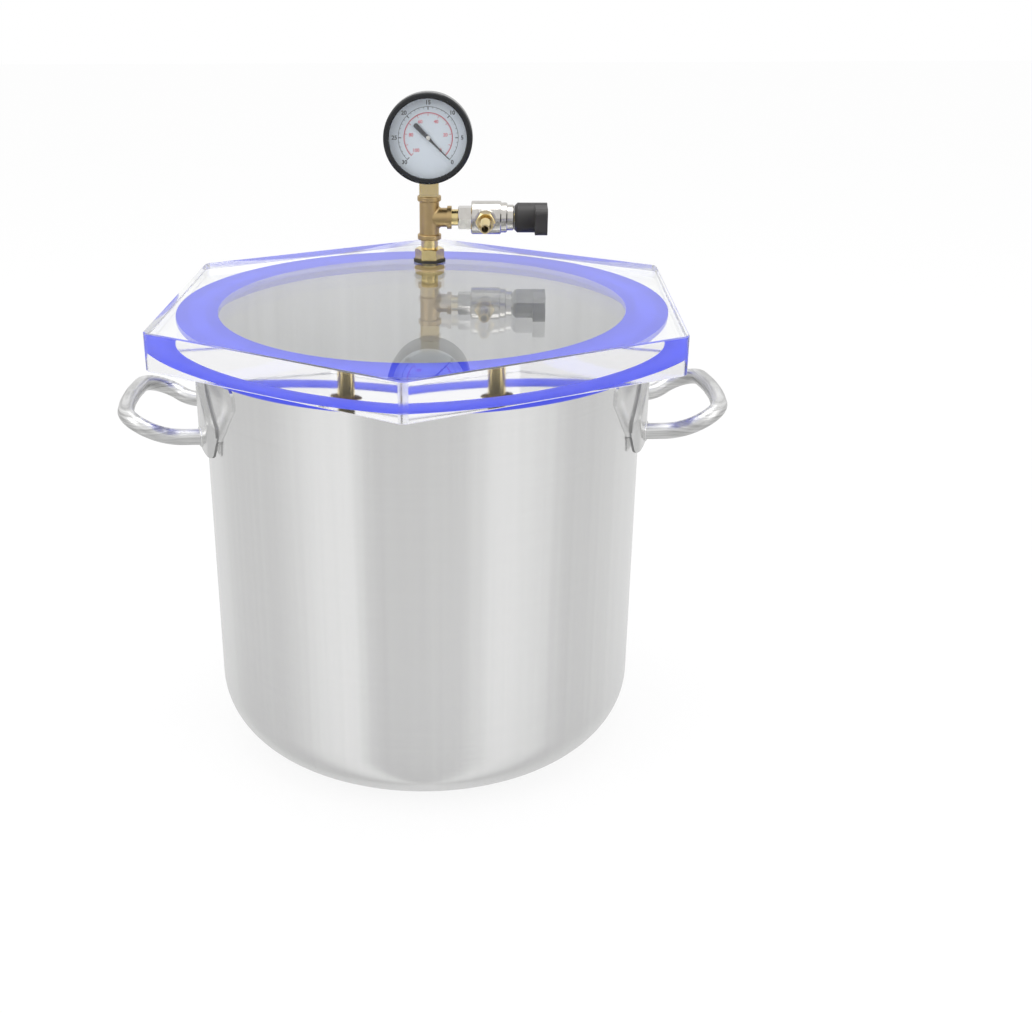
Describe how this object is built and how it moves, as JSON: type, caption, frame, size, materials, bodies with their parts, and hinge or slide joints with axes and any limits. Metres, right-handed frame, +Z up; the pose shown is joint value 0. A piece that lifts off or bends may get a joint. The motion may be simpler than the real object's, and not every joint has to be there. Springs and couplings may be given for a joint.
{
  "type": "vacuum chamber",
  "caption": "Round steel pot with a thick clear hexagonal lid on a soft ring gasket, a dial gauge on a tee, a quarter-turn lever valve with a hose barb, and a side handle on each side.",
  "frame": {"origin": "middle of the underside of the pot, on the surface it stands on", "axes": "+Z up along the pot axis; -Y is the side the dial faces; +X is the side the valve lever is on"},
  "size_m": [0.4226, 0.3884, 0.4415],
  "materials": {
    "acrylic": "clear cast acrylic with polished faces",
    "bezel_steel": "black enamelled steel",
    "black_plastic": "black moulded plastic",
    "brass": "turned and cast brass",
    "dial_white": "white printed sheet",
    "gauge_steel": "black enamelled steel",
    "glass": "clear flat glass",
    "handle_steel": "polished stainless steel rod",
    "movement_brass": "stamped brass",
    "nickel": "nickel plate",
    "plate_steel": "satin stainless sheet",
    "pointer_black": "black enamel",
    "pot_steel": "satin drawn stainless steel",
    "ptfe": "white PTFE",
    "screw_steel": "zinc-plated steel",
    "silicone": "smooth blue silicone",
    "tube_bronze": "drawn bronze tube",
    "washer_rubber": "black rubber"
  },
  "bodies": {
    "chamber": {"pot": "pot_steel", "gasket": "silicone", "lid": "acrylic", "handle_left": "handle_steel", "handle_right": "handle_steel", "handle_plate_left": "plate_steel", "handle_plate_right": "plate_steel", "through_fitting": "brass", "sealing_washer_top": "washer_rubber", "sealing_washer_bottom": "washer_rubber", "lock_nut": "brass", "tee": "brass", "gauge_socket": "brass", "gauge_case": "gauge_steel", "gauge_bezel": "bezel_steel", "gauge_lens": "glass", "gauge_dial": "dial_white", "gauge_movement": "movement_brass", "bourdon_tube": "tube_bronze", "valve_nipple": "brass", "valve_body": "nickel", "valve_seat": "ptfe", "stem_packing": "ptfe", "packing_nut": "nickel", "hose_barb": "brass"},
    "lever": {"valve_lever": "black_plastic", "lever_screw": "screw_steel", "valve_stem": "brass", "valve_ball": "nickel"},
    "pointer": {"gauge_pointer": "pointer_black", "gauge_arbor": "movement_brass"}
  },
  "joints": [
    {"name": "lever_turn", "type": "hinge", "parent": "chamber", "child": "lever", "pos_m": [0.07, 0.11, 0.35], "axis": [-1, 0, 0], "range_deg": [0, 90]},
    {"name": "pointer_turn", "type": "hinge", "parent": "chamber", "child": "pointer", "pos_m": [0, 0.1, 0.4092], "axis": [0, -1, 0], "range_deg": [0, 270], "stiffness_Nm_per_rad": 0.0002}
  ]
}
